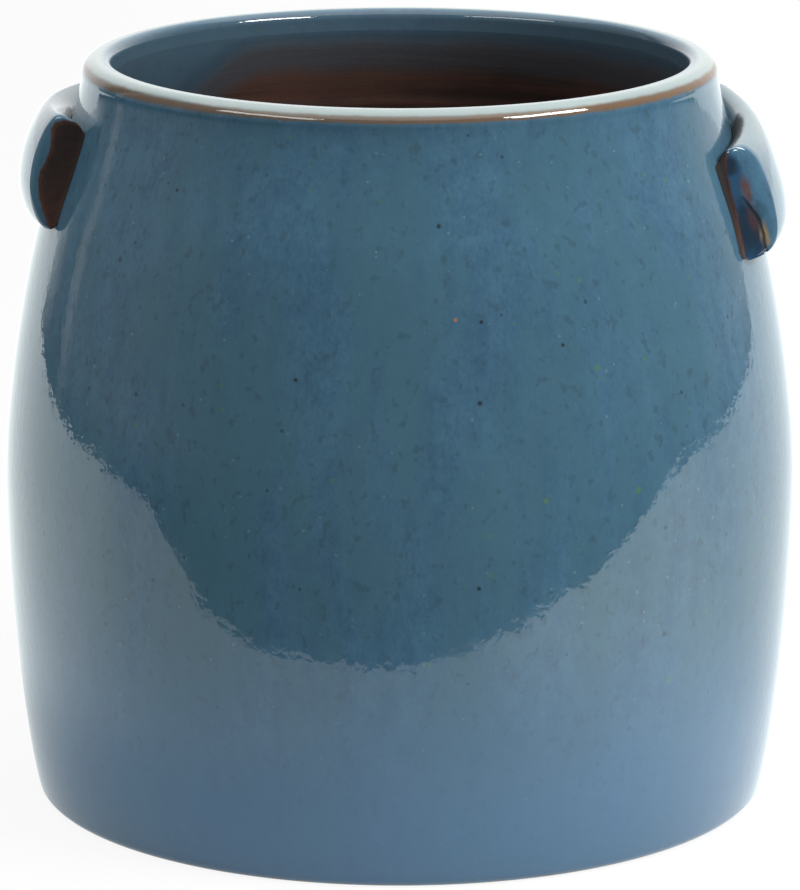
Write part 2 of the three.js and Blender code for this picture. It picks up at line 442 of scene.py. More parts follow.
class NodeBench:
    """Wires the nodes of one material, group or world."""

    def __init__(self, tree: bpy.types.NodeTree) -> None:
        """Takes a node tree to wire."""
        self.tree = tree

    @classmethod
    def of(cls, owner: bpy.types.Material | bpy.types.World) -> "NodeBench":
        """The bench of a material or a world, with its nodes cleared away."""
        owner.use_nodes = True
        owner.node_tree.nodes.clear()
        return cls(owner.node_tree)

    def feed(self, socket: Socket, value: object) -> None:
        """Links an output to a socket, or sets the socket to a value."""
        if isinstance(value, Socket):
            self.tree.links.new(value, socket)
        else:
            socket.default_value = value

    def add(self, kind: str, inputs: dict | None = None, **settings: object) -> bpy.types.Node:
        """Adds a node.

        Args:
            kind: The node's type, without its ShaderNode start.
            inputs: A value or an output for each named or numbered input.
            **settings: Values for the node's own properties.

        Returns:
            The node.
        """
        node = self.tree.nodes.new("ShaderNode" + kind)
        for name, value in settings.items():
            setattr(node, name, value)
        for key, value in (inputs or {}).items():
            self.feed(node.inputs[key], value)
        return node

    def math(self, operation: str, *values: object) -> Socket:
        """The result of a sum on one to three values or outputs."""
        return self.add("Math", dict(enumerate(values)), operation=operation).outputs[0]

    def times(self, *values: object) -> Socket:
        """The product of two values or more."""
        product, *others = values
        for other in others:
            product = self.math("MULTIPLY", product, other)
        return product

    def line(self, value: object, slope: object, start: object) -> Socket:
        """The straight line start + slope * value."""
        return self.math("MULTIPLY_ADD", value, slope, start)

    def length(self, vector: Socket) -> Socket:
        """A vector's length."""
        return self.add("VectorMath", {0: vector}, operation="LENGTH").outputs["Value"]

    def vector(self, operation: str, *values: object) -> Socket:
        """The vector that comes of a sum on vectors."""
        return self.add("VectorMath", dict(enumerate(values)), operation=operation).outputs[0]

    def scaled(self, vector: Socket, scale: Triple) -> Socket:
        """A vector stretched along its axes."""
        return self.vector("MULTIPLY", vector, scale)

    def blend(self, share: object, low: object, high: object, kind: str = "MIX") -> Socket:
        """A colour between two, or one laid over the other in the way that kind names."""
        node = self.add("Mix", {0: share}, data_type="RGBA", blend_type=kind, clamp_factor=True)
        for key, value in ((6, low), (7, high)):
            self.feed(node.inputs[key], value if isinstance(value, Socket) else (*value, 1.0))
        return node.outputs[2]

    def rise(self, value: object, low: object, high: object, bottom: float = 0, top: float = 1) -> Socket:
        """Goes smoothly from bottom to top as value goes from low to high."""
        inputs = {0: value, 1: low, 2: high, 3: bottom, 4: top}
        return self.add("MapRange", inputs, interpolation_type="SMOOTHSTEP").outputs[0]

    def cloud(
        self, vector: Socket, scale: float, detail: float = 3, rough: float = 0.5, bend: float = 0
    ) -> Socket:
        """A cloudy value round 0.5.

        Args:
            vector: Where on the piece.
            scale: Clouds to the metre.
            detail: Finer layers.
            rough: Strength of the finer layers.
            bend: How far it is distorted.

        Returns:
            The value.
        """
        inputs = {"Vector": vector, "Scale": scale, "Detail": detail, "Roughness": rough, "Distortion": bend}
        return self.add("TexNoise", inputs).outputs["Fac"]

    def attribute(self, name: str) -> Socket:
        """A point attribute's vector."""
        return self.add("Attribute", attribute_type="GEOMETRY", attribute_name=name).outputs["Vector"]

    def split(self, vector: Socket) -> list[Socket]:
        """The three parts of a vector."""
        return list(self.add("SeparateXYZ", {0: vector}).outputs)

    def group(self, name: str, **inputs: object) -> bpy.types.Node:
        """The node of a shared effect, with its named inputs set."""
        node = self.tree.nodes.new("ShaderNodeGroup")
        node.node_tree = bpy.data.node_groups[name]
        for key, value in inputs.items():
            self.feed(node.inputs[key.title()], value)
        return node


class EffectGroup:
    """A shared effect: a node group with named inputs and outputs, floats unless KINDS says otherwise."""

    KINDS = {"Vector": "Vector", "Centre": "Vector", "Color": "Color"}

    def __init__(self, name: str, inputs: list[str], outputs: list[str]) -> None:
        """Makes the group and its sockets.

        Args:
            name: The group's name.
            inputs: The inputs' names.
            outputs: The outputs' names.
        """
        self.tree = bpy.data.node_groups.new(name, "ShaderNodeTree")
        for way, sockets in (("INPUT", inputs), ("OUTPUT", outputs)):
            for socket in sockets:
                kind = "NodeSocket" + self.KINDS.get(socket, "Float")
                self.tree.interface.new_socket(name=socket, in_out=way, socket_type=kind)
        self.bench = NodeBench(self.tree)
        self.given = self.tree.nodes.new("NodeGroupInput").outputs
        self.result = self.tree.nodes.new("NodeGroupOutput").inputs

    def put(self, **results: Socket) -> None:
        """Wires the group's outputs."""
        for key, value in results.items():
            self.tree.links.new(value, self.result[key.title()])


# ---- Colours ----


class GlazeTint:
    """Colours of the glaze, linear."""

    deep = (0.040, 0.096, 0.153)
    pale = (0.057, 0.131, 0.194)
    teal = (0.051, 0.118, 0.158)
    low = (0.05, 0.128, 0.236)
    smoke = (0.034, 0.066, 0.085)
    iron = (0.018, 0.02, 0.02)
    rutile = (0.15, 0.24, 0.27)
    green = (0.075, 0.16, 0.06)
    rust = (0.42, 0.13, 0.03)
    thin = (0.16, 0.085, 0.035)
    # The brown line's colour at the left: painted darker, as shade on the side away from the key light; the
    # left lug's crevice takes it as painted shade.
    thin_dark = (0.12, 0.074, 0.038)
    amber = (0.21, 0.15, 0.075)
    navy = (0.014, 0.045, 0.095)
    ink = (0.012, 0.02, 0.03)
    # Pale grey laid on the tops of the lip and the lugs: painted reflection of the bright room above, over a
    # thinner glaze on the lip.
    wear_and_sheen = (0.27, 0.325, 0.31)
    inner = (0.056, 0.085, 0.112)
    inner_line = (0.028, 0.046, 0.07)


class ClayTint:
    """Colours of the bare clay, linear."""

    dark = (0.027, 0.0145, 0.0112)
    brown = (0.056, 0.027, 0.019)
    red = (0.088, 0.033, 0.02)
    sand = (0.075, 0.045, 0.032)
    flash = (0.042, 0.046, 0.055)
    burnt = (0.0052, 0.0045, 0.0045)
    # Near black for the crevice behind the right lug: painted shade where the lug meets the wall.
    crevice_shade = (0.012, 0.0075, 0.006)


# ---- Shared effects ----


@dataclass(frozen=True)
class CloudLayer:
    """One layer of clouds in the glaze's tone."""

    stretch: float  # below 1 the clouds run down the pot
    scale: float  # clouds to the metre
    detail: float
    rough: float
    share: float  # of the tone
    bend: float = 0.0


@dataclass(frozen=True)
class SpeckKind:
    """One kind of speck in the glaze."""

    scale: float  # cells to the metre
    chance: float  # that a cell holds one
    size: float  # in cells
    tint: Triple
    strength: float


@dataclass(frozen=True)
class SpecksEffect:
    """Small round specks of uneven size: Vector, Scale, Share and Size in, Mask out."""

    bend_scale: float = 900.0
    bend: float = 0.0002
    smallest: float = 0.4
    spread: float = 0.75
    core: float = 0.55  # the share of a speck that is solid

    def make(self) -> None:
        """Builds the group."""
        made = EffectGroup("Specks", ["Vector", "Scale", "Share", "Size"], ["Mask"])
        bench, given = made.bench, made.given
        bent = bench.add("TexNoise", {"Vector": given["Vector"], "Scale": self.bend_scale, "Detail": 1.0})
        shift = bench.vector("MULTIPLY_ADD", bent.outputs["Color"], (self.bend,) * 3, given["Vector"])
        cells = bench.add("TexVoronoi", {"Vector": shift, "Scale": given["Scale"]})
        chance = bench.split(cells.outputs["Color"])
        chosen = bench.math("LESS_THAN", chance[0], given["Share"])
        size = bench.times(given["Size"], bench.line(chance[1], self.spread, self.smallest))
        near = bench.math("DIVIDE", cells.outputs["Distance"], size)
        made.put(mask=bench.times(bench.rise(near, 1.0, self.core), chosen))


@dataclass(frozen=True)
class SpotEffect:
    """One round spot with a soft, ragged edge: Vector, Centre and Size, in metres, in, Mask out."""

    ragged_scale: float = 520.0
    ragged: float = 0.8
    outer: float = 1.6
    core: float = 0.8

    def make(self) -> None:
        """Builds the group."""
        made = EffectGroup("Spot", ["Vector", "Centre", "Size"], ["Mask"])
        bench, given = made.bench, made.given
        ragged = bench.cloud(given["Vector"], self.ragged_scale, 2)
        away = bench.length(bench.vector("SUBTRACT", given["Vector"], given["Centre"]))
        near = bench.line(ragged, self.ragged, bench.math("DIVIDE", away, given["Size"]))
        made.put(mask=bench.rise(near, self.outer, self.core))


@dataclass(frozen=True)
class GlazeColourEffect:
    """The slate blue of the glaze: Vector and Specks, the specks' strength, in, Color out."""

    layers: tuple[CloudLayer, ...] = (
        CloudLayer(1.3, 11, 3, 0.5, 1.2, bend=0.4),
        CloudLayer(0.09, 120, 3, 0.55, 1.3),
        CloudLayer(0.7, 170, 4, 0.6, 2.0),
        CloudLayer(0.6, 800, 3, 0.65, 1.7),
    )
    specks: tuple[SpeckKind, ...] = (
        SpeckKind(200.0, 0.09, 0.19, GlazeTint.iron, 0.5),
        SpeckKind(150.0, 0.14, 0.16, GlazeTint.green, 0.45),
        SpeckKind(420.0, 0.08, 0.24, GlazeTint.rutile, 0.4),
        SpeckKind(90.0, 0.06, 0.1, GlazeTint.iron, 0.8),
    )
    speck_shift: float = 0.01  # moves each kind of speck by a share of its scale
    hue_shift: Triple = (0.3, 0.1, 0.2)
    teal_share: float = 0.7
    smoke_share: float = 0.45

    def make(self) -> None:
        """Builds the group."""
        made = EffectGroup("Glaze colour", ["Vector", "Specks"], ["Color"])
        bench, place = made.bench, made.given["Vector"]
        tone = 0.5
        for layer in self.layers:
            stretched = bench.scaled(place, (1, 1, layer.stretch))
            cloud = bench.cloud(stretched, layer.scale, layer.detail, layer.rough, layer.bend)
            tone = bench.line(bench.math("SUBTRACT", cloud, 0.5), layer.share, tone)
        base = bench.blend(tone, GlazeTint.deep, GlazeTint.pale)
        hue = bench.cloud(bench.scaled(bench.vector("ADD", place, self.hue_shift), (1, 1, 0.22)), 48, 3, 0.6)
        base = bench.blend(bench.rise(hue, 0.4, 0.6, 0, self.teal_share), base, GlazeTint.teal)
        smudge = bench.cloud(bench.scaled(place, (1, 1, 0.8)), 330, 2)
        base = bench.blend(bench.rise(smudge, 0.58, 0.72, 0, self.smoke_share), base, GlazeTint.smoke)
        for kind in self.specks:
            shifted = bench.vector("ADD", place, (kind.scale * self.speck_shift,) * 3)
            spots = bench.group("Specks", vector=shifted, scale=kind.scale, share=kind.chance, size=kind.size)
            mask = bench.times(spots.outputs["Mask"], kind.strength, made.given["Specks"])
            base = bench.blend(mask, base, kind.tint)
        made.put(color=base)


@dataclass(frozen=True)
class GlazeSkinEffect:
    """The fine ripple of the melted glaze: Vector in, Height, in metres, and Rough out."""

    ripple_scale: float = 330.0
    ripple_high: float = 0.00006
    swell_scale: float = 50.0
    swell_high: float = 0.00005
    gloss: tuple[float, float] = (0.035, 0.075)  # the roughness where it is glossiest and where it is dullest

    def make(self) -> None:
        """Builds the group."""
        made = EffectGroup("Glaze skin", ["Vector"], ["Height", "Rough"])
        bench, place = made.bench, made.given["Vector"]
        ripple = bench.cloud(bench.scaled(place, (1, 1, 0.8)), self.ripple_scale, 2)
        swell = bench.cloud(bench.scaled(place, (1, 1, 1.3)), self.swell_scale, 1)
        height = bench.line(swell, self.swell_high, bench.times(ripple, self.ripple_high))
        made.put(height=height, rough=bench.rise(bench.cloud(place, 60, 3, 0.6), 0.35, 0.7, *self.gloss))


@dataclass(frozen=True)
class ClayEffect:
    """Bare fired clay, streaked by the throwing: Vector and Streaks in, Color, Height and Rough out."""

    grain_high: float = 0.00006
    band_high: float = 0.00018
    red_share: float = 0.75
    sand_share: float = 0.35
    gloss: tuple[float, float] = (0.62, 0.86)

    def make(self) -> None:
        """Builds the group."""
        made = EffectGroup("Bare clay", ["Vector", "Streaks"], ["Color", "Height", "Rough"])
        bench, place = made.bench, made.given["Vector"]
        bands = bench.cloud(bench.scaled(place, (0.05, 0.05, 1)), 260, 4, 0.6, 0.3)
        cloud = bench.cloud(place, 40, 4, 0.6)
        grain = bench.cloud(place, 1700, 3, 0.7)
        banded = bench.times(bench.rise(bands, 0.38, 0.66), made.given["Streaks"], self.red_share)
        base = bench.blend(bench.rise(cloud, 0.35, 0.68), ClayTint.dark, ClayTint.brown)
        base = bench.blend(banded, base, ClayTint.red)
        base = bench.blend(bench.rise(grain, 0.5, 0.8, 0, self.sand_share), base, ClayTint.sand)
        height = bench.line(bands, self.band_high, bench.times(grain, self.grain_high))
        made.put(color=base, height=height, rough=bench.rise(grain, 0.3, 0.75, *self.gloss))


# ---- Finishes ----


@dataclass(frozen=True)
class Finish:
    """A finish of the pot. Its make method gives the material."""

    name: str
    ior: float = 1.53

    def start(self) -> tuple[bpy.types.Material, NodeBench, Socket]:
        """Makes the material.

        Returns:
            The material, its bench, and where on the clay a point lies.
        """
        material = bpy.data.materials.new(self.name)
        bench = NodeBench.of(material)
        return material, bench, bench.attribute(PLACE)

    def glaze(self, bench: NodeBench, place: Socket, specks: float) -> tuple[Socket, Socket, Socket]:
        """The glaze's colour, roughness and height."""
        skin = bench.group("Glaze skin", vector=place).outputs
        colour = bench.group("Glaze colour", vector=place, specks=specks).outputs["Color"]
        return colour, skin["Rough"], skin["Height"]

    def clay(self, bench: NodeBench, place: Socket, streaks: float) -> tuple[Socket, Socket, Socket]:
        """The bare clay's colour, roughness and height."""
        clay = bench.group("Bare clay", vector=place, streaks=streaks).outputs
        return clay["Color"], clay["Rough"], clay["Height"]

    def over(self, bench: NodeBench, share: Socket, under: Socket, upper: Socket) -> Socket:
        """A height that goes from under to upper as share goes from 0 to 1."""
        left = bench.times(under, bench.math("SUBTRACT", 1.0, share))
        return bench.math("ADD", left, bench.times(upper, share))

    def dress(self, bench: NodeBench, colour: Socket, rough: Socket, height: Socket) -> None:
        """Gives the material one Principled surface with this colour, roughness and height in metres."""
        bump = bench.add("Bump", {"Height": height, "Distance": 1.0, "Strength": 1.0}).outputs[0]
        inputs = {"IOR": self.ior, "Base Color": colour, "Roughness": rough, "Normal": bump}
        bench.add("OutputMaterial", {"Surface": bench.add("BsdfPrincipled", inputs).outputs[0]})


@dataclass(frozen=True)
class GlazeSpot:
    """A spot in the glaze that is large enough to know the pot by."""

    azimuth: float  # degrees from the front, positive to the right
    height: float  # millimetres above the ground
    size: float  # radius, in millimetres
    tint: Triple
    strength: float = 0.85

    def centre(self, profile: PotProfile) -> Triple:
        """Where its middle lies on the outside of the wall."""
        radius = profile.outside_at(self.height / 1000)[0]
        turn = math.radians(self.azimuth)
        return radius * math.sin(turn), -radius * math.cos(turn), self.height / 1000


GREEN_SPOTS = ((29.5, 158.9, 1.1), (35.1, 120.9, 1.2), (28.2, 185.0, 0.9), (4.1, 72.6, 1.0))
GREEN_SPOTS += ((20.4, 121.2, 1.1), (41.5, 58.9, 1.1))
IRON_SPOTS = ((11.3, 151.5, 0.9), (12.0, 175.0, 0.7), (10.8, 95.9, 0.8), (6.1, 202.7, 0.9))
IRON_SPOTS += ((-15.0, 157.9, 0.7), (24.3, 166.7, 0.8))
GLAZE_SPOTS = (
    GlazeSpot(8.2, 175.9, 0.7, GlazeTint.rust, 0.6),
    *(GlazeSpot(*spot, GlazeTint.iron) for spot in IRON_SPOTS),
    *(GlazeSpot(*spot, GlazeTint.green, 0.6) for spot in GREEN_SPOTS),
)


@dataclass(frozen=True)
class OuterGlaze(Finish):
    """The glaze outside and on the lip: brown where it runs thin, with painted shade darkening that brown line
    at the left, a pale lip top that paints the bright room's reflection over a thinner glaze, and rubbed bare
    to the clay where the pot stands.
    """

    name: str = "Blue glaze"
    line_height: float = 0.2339
    line_half: float = 0.0016
    line_inside: float = 0.0962  # nearer the axis than this there is no brown line
    line_waver: float = 0.0012
    line_share: float = 0.85
    mouth_edge: float = 0.0924
    inner_share: float = 0.6
    dull_height: float = 0.2335  # below this the glaze in the mouth has a softer gloss
    dull_rough: float = 0.35
    # How much the lip's top is laid pale: painted reflection of the bright room above, over a thinner glaze.
    lip_sheen_share: float = 0.85
    low_height: float = 0.095
    low_share: float = 0.7

    def make(self, profile: PotProfile) -> bpy.types.Material:
        """Builds the material.

        Args:
            profile: The wall's profile, which the spots lie on.

        Returns:
            The material.
        """
        material, bench, place = self.start()
        base, gloss, height = self.glaze(bench, place, 1.0)
        for spot in GLAZE_SPOTS:
            mark = bench.group("Spot", vector=place, centre=spot.centre(profile), size=spot.size / 1000)
            base = bench.blend(bench.times(mark.outputs["Mask"], spot.strength), base, spot.tint)
        across, _, up = bench.split(place)
        flat = bench.length(bench.scaled(place, (1, 1, 0)))
        inside = bench.rise(flat, self.mouth_edge, self.mouth_edge - 0.0016, 0, self.inner_share)
        base = bench.blend(inside, base, GlazeTint.inner)
        dull = bench.times(inside, bench.rise(up, self.dull_height, self.dull_height - 0.002))
        # Painted reflection on the lip's top, partly a thinner, paler glaze.
        top = bench.rise(up, self.line_height + 0.0003, profile.height - 0.0012, 0, self.lip_sheen_share)
        top = bench.times(top, bench.rise(flat, self.mouth_edge - 0.0006, self.mouth_edge + 0.0022))
        base = bench.blend(top, base, GlazeTint.wear_and_sheen)
        waver = bench.cloud(bench.scaled(place, (1, 1, 0.2)), 130, 3, 0.6)
        middle = bench.line(waver, self.line_waver, self.line_height - self.line_waver / 2)
        off = bench.math("ABSOLUTE", bench.math("SUBTRACT", up, middle))
        line = bench.times(
            bench.rise(off, self.line_half, self.line_half * 0.3),
            bench.rise(flat, self.line_inside, self.line_inside + 0.001),
            self.line_share,
        )
        # Painted shade: the brown line is darker at the left and lighter at the right, where the key light
        # falls.
        key_side = bench.rise(bench.line(waver, 0.05, across), 0.0, 0.11)
        base = bench.blend(line, base, bench.blend(key_side, GlazeTint.thin_dark, GlazeTint.thin))
        base = bench.blend(bench.rise(up, self.low_height, 0.015, 0, self.low_share), base, GlazeTint.low)
        # Rubbed to bare clay where the pot stands: real wear.
        foot = bench.cloud(bench.scaled(place, (1, 1, 0.4)), 60, 3, 0.6)
        wear_and_sheen = bench.rise(bench.line(foot, -0.003, up), -0.0004, -0.0013)
        base = bench.blend(wear_and_sheen, base, ClayTint.brown)
        self.dress(bench, base, bench.line(dull, self.dull_rough, gloss), height)
        return material


@dataclass(frozen=True)
class InnerWall(Finish):
    """The inside: glazed a finger's breadth below the lip, further at the left, then bare clay."""

    name: str = "Inner wall"
    glaze_end: float = 0.2262
    glaze_waver: float = 0.009
    glaze_soft: float = 0.0035
    glaze_rough: float = 0.25
    left_low: float = 0.02  # how much lower the glaze ends at the left
    line_top: float = 0.2297  # the dark line has faded below the lip's joint
    line_share: float = 0.35
    inner_share: float = 0.6
    flash_share: float = 0.95

    def make(self) -> bpy.types.Material:
        """Builds the material."""
        material, bench, place = self.start()
        across, _, up = bench.split(place)
        blue, _, skin = self.glaze(bench, place, 0.8)
        bare, rough, grain = self.clay(bench, place, 1.0)
        waver = bench.cloud(bench.scaled(place, (1, 1, 0.5)), 22, 3, 0.55, 0.4)
        end = bench.line(waver, self.glaze_waver, self.glaze_end - self.glaze_waver / 2)
        end = bench.math("SUBTRACT", end, bench.rise(across, -0.045, -0.085, 0, self.left_low))
        above = bench.math("SUBTRACT", up, end)
        thick = bench.rise(above, -self.glaze_soft, self.glaze_soft)
        line = bench.times(
            bench.rise(above, -0.001, 0.002),
            bench.rise(above, 0.009, 0.003),
            bench.rise(up, self.line_top, self.line_top - 0.0026),
            self.line_share,
        )
        blue = bench.blend(self.inner_share, blue, GlazeTint.inner)
        blue = bench.blend(line, blue, GlazeTint.inner_line)
        bare = bench.blend(bench.rise(above, -0.0135, -0.0065, 0, self.flash_share), bare, ClayTint.flash)
        rough = bench.add("Mix", {0: thick, 2: rough, 3: self.glaze_rough}).outputs[0]
        self.dress(bench, bench.blend(thick, bare, blue), rough, self.over(bench, thick, grain, skin))
        return material


@dataclass(frozen=True)
class BareClay(Finish):
    """Unglazed clay, for the floor and the underside."""

    name: str = "Bare clay"
    streaks: float = 0.5

    def make(self) -> bpy.types.Material:
        """Builds the material."""
        material, bench, place = self.start()
        self.dress(bench, *self.clay(bench, place, self.streaks))
        return material


@dataclass(frozen=True)
class EndPatch:
    """A coloured patch on a lug's front end, in millimetres off the wall and up the slope."""

    off_wall: float
    up_slope: float
    size: float
    stretch: float  # how much taller than wide
    tint: Triple
    strength: float

    def over(self, bench: NodeBench, base: Socket, spot: Socket, front: float) -> Socket:
        """Lays the patch over a colour.

        Args:
            bench: The material's bench.
            base: The colour.
            spot: The point in the lug's own measures.
            front: How far along the lug its front end lies, in metres.

        Returns:
            The colour with the patch.
        """
        centre = (self.off_wall / 1000, self.up_slope / 1000 / self.stretch, front)
        squeezed = bench.scaled(spot, (1, 1 / self.stretch, 1))
        mark = bench.group("Spot", vector=squeezed, centre=centre, size=self.size / 1000)
        return bench.blend(bench.times(mark.outputs["Mask"], self.strength), base, self.tint)


@dataclass(frozen=True)
class LugGlaze(Finish):
    """The glaze of a lug: bare or thin on its cut ends, brown along its fold, and darkened by painted shade
    over thin glaze in the crevice behind it.
    """

    name: str = "Left lug glaze"
    middle_share: float = 0.0
    seam_share: float = 0.0
    seam_top: float = 0.019  # the fold has closed above this height up the slope
    rust_share: float = 0.85
    rust_deep: float = 1.4
    burnt_share: float = 0.65
    # The crevice's colour: painted shade where the lug meets the wall, over thin glaze.
    crevice: Triple = GlazeTint.thin_dark
    crevice_share: float = 0.3
    # How much the lug's top is laid pale: painted reflection of the bright room above.
    top_sheen_share: float = 0.35
    patches: tuple[EndPatch, ...] = ()

    def make(self, front: float) -> bpy.types.Material:
        """Builds the material.

        Args:
            front: How far along the lug its front end lies, in metres, negative.

        Returns:
            The material.
        """
        material, bench, place = self.start()
        spot = bench.attribute(LUG_PLACE)
        bare, fold, crease = bench.split(bench.attribute(LUG_MARKS))
        base, gloss, skin = self.glaze(bench, place, 0.6)
        clay, _, grain = self.clay(bench, place, 0.3)
        ragged = bench.math("SUBTRACT", bench.cloud(spot, 420, 4, 0.6), 0.5)
        depth, near = bench.line(ragged, 1.3, bare), bench.line(ragged, 0.9, fold)
        _, slope, along = bench.split(spot)
        # Painted reflection: the top of the lug is laid pale grey, as the bright room above shows in its glaze
        # there; not on the cut end.
        high = bench.rise(slope, 0.024, 0.033, 0, self.top_sheen_share)
        high = bench.times(high, bench.rise(along, front + 0.003, front + 0.006))
        base = bench.blend(high, base, GlazeTint.wear_and_sheen)
        base = bench.blend(bench.rise(near, 0.9, -0.9, 0, self.middle_share), base, GlazeTint.navy)
        for patch in self.patches:
            base = patch.over(bench, base, spot, front)
        shut = bench.rise(slope, self.seam_top + 0.003, self.seam_top - 0.003, 0, self.seam_share)
        seam = bench.times(bench.rise(bench.math("ABSOLUTE", near), 0.7, 0.1), shut)
        base = bench.blend(seam, base, GlazeTint.ink)
        torn = bench.rise(depth, -0.1, 0.25)
        burnt = bench.blend(self.burnt_share, clay, ClayTint.burnt)
        burnt = bench.blend(bench.rise(slope, 0.022, 0.004, 0, 0.3), burnt, ClayTint.red)
        base = bench.blend(torn, base, burnt)
        rust = bench.times(
            bench.rise(depth, -0.5, 0.05), bench.rise(depth, self.rust_deep, 0.2), self.rust_share
        )
        base = bench.blend(rust, base, ClayTint.red)
        # Painted shade along the crevice between the lug and the wall.
        groove = bench.rise(bench.line(ragged, 0.6, crease), 0.2, 0.8, 0, self.crevice_share)
        base = bench.blend(groove, base, self.crevice)
        coarse = bench.math("MAXIMUM", torn, bench.times(groove, 0.9))
        rough = bench.add("Mix", {0: coarse, 2: gloss, 3: 1.0}).outputs[0]
        self.dress(bench, base, rough, self.over(bench, torn, skin, grain))
        return material


RIGHT_GLAZE = LugGlaze(
    name="Right lug glaze",
    middle_share=0.85,
    seam_share=0.9,
    rust_share=0.4,
    rust_deep=0.7,
    burnt_share=0.9,
    # Painted shade in the crevice behind the lug, near black.
    crevice=ClayTint.crevice_shade,
    crevice_share=0.85,
    top_sheen_share=0.5,
    patches=(
        EndPatch(3.4, 10.5, 4.8, 2.2, GlazeTint.ink, 0.8),
        # Painted shade: a dark patch in the recess at the top of the cut end.
        EndPatch(2.8, 30.5, 2.8, 1.3, GlazeTint.ink, 0.85),
        EndPatch(5.2, 22.0, 1.5, 3.2, ClayTint.red, 0.75),
        EndPatch(4.6, 12.5, 1.6, 3.4, ClayTint.red, 0.4),
        EndPatch(6.4, 6.0, 1.3, 4.0, GlazeTint.amber, 0.9),
    ),
)


# ---- The pot's pieces ----


@dataclass
class ThrownWall:
    """The thrown wall, with its throwing rings inside."""

    profile: PotProfile
    hand: PotterHand
    steps_round: int = 256
    steps_inside: int = 170
    ring_depth: float = 0.00035
    ring_pitch: float = 0.0085
    ring_start: float = 0.214
    ring_fade: float = 0.02
    floor_fade: float = 0.012
    bare_height: float = 0.0031  # what stands on the ground is bare up to this height
    bare_radius: float = 0.1085
    cove: tuple[float, float] = (0.004, 0.008)  # how far out and up of the floor the inside is bare
    margin: float = 0.001
    waver: float = 0.35  # of a ring's pitch
    waver_scale: float = 30.0

    def throw(self, point: Vector) -> Vector:
        """Moves a point as the hand did, and on the inside by the throwing rings too."""
        flat, floor = math.hypot(point.x, point.y), self.profile.floor_top
        moved = self.hand.move(point)
        inside = flat < self.profile.outside_at(point.z)[0] - self.profile.wall * 0.6
        if not inside or point.z < floor - self.margin:
            return moved
        turn = math.atan2(point.y, point.x) / math.tau
        waver = noise.noise(point * self.waver_scale) * self.waver
        wave = math.sin((point.z / self.ring_pitch - turn + waver) * math.tau)
        depth = self.ring_depth * smooth(self.ring_start, self.ring_start - self.ring_fade, point.z)
        depth *= smooth(floor, floor + self.floor_fade, point.z)
        scale = 1 + depth * wave / flat
        return Vector((moved.x * scale, moved.y * scale, moved.z))

    def zone(self, face: bmesh.types.BMFace) -> int:
        """The material of a face: 0 for the glaze, 1 for the inside and 2 for the bare foot."""
        middle, floor = face.calc_center_median(), self.profile.floor_top
        flat = math.hypot(middle.x, middle.y)
        inwards = face.normal.x * middle.x + face.normal.y * middle.y < 0
        if middle.z < self.bare_height and (face.normal.z < -0.9 or inwards or flat < self.bare_radius):
            return 2
        if middle.z < floor - self.margin:
            return 0
        out, up = self.cove
        return 1 if inwards or (flat < self.profile.floor_radius + out and middle.z < floor + up) else 0

    def build(self) -> bpy.types.Object:
        """Spins the wall, marks its zones and moves it by hand."""
        bm = spin_outline(self.profile.wall_outline(self.steps_inside), self.steps_round)
        for face in bm.faces:
            face.material_index = self.zone(face)
        return turn_piece(bm, ("thrown_wall", "pot_wall"), Slot.BLUE_GLAZE, self.throw)


@dataclass
class Rim:
    """The thick rounded lip."""

    profile: PotProfile
    hand: PotterHand
    steps_round: int = 256

    def build(self) -> bpy.types.Object:
        """Spins the lip and moves it by hand."""
        bm = spin_outline(self.profile.rim_outline(), self.steps_round)
        return turn_piece(bm, ("lip", "rim_ring"), Slot.LIP_GLAZE, self.hand.move)


@dataclass
class FloorDisc:
    """The floor with its drain hole, and the spiral that the throwing left on it."""

    profile: PotProfile
    hand: PotterHand
    steps_round: int = 192
    spiral_depth: float = 0.0004
    spiral_pitch: float = 0.009
    edge_fade: float = 0.012
    hole_fade: tuple[float, float] = (0.002, 0.01)  # beyond the hole's edge
    margin: float = 0.0001

    def press(self, point: Vector) -> Vector:
        """Moves a point as the hand did, and on the top by the spiral too."""
        moved = self.hand.move(point)
        if point.z > self.profile.floor_top - self.margin:
            flat, edge = math.hypot(point.x, point.y), self.profile.floor_radius
            turn = math.atan2(point.y, point.x) / math.tau
            wave = math.sin((flat / self.spiral_pitch + turn) * math.tau) - 1
            fade = smooth(edge, edge - self.edge_fade, flat)
            fade *= smooth(*self.hole_fade, flat - self.profile.drain_hole / 2)
            moved.z += self.spiral_depth * wave * fade
        return moved

    def build(self) -> bpy.types.Object:
        """Spins the disc and presses the spiral into its top."""
        bm = spin_outline(self.profile.floor_outline(), self.steps_round)
        names = ("pot_floor", "floor_disc")
        return turn_piece(
            bm, names, Slot.BARE_CLAY, self.press, lambda co: Vector((co.x, co.y, co.z + co.xy.length))
        )


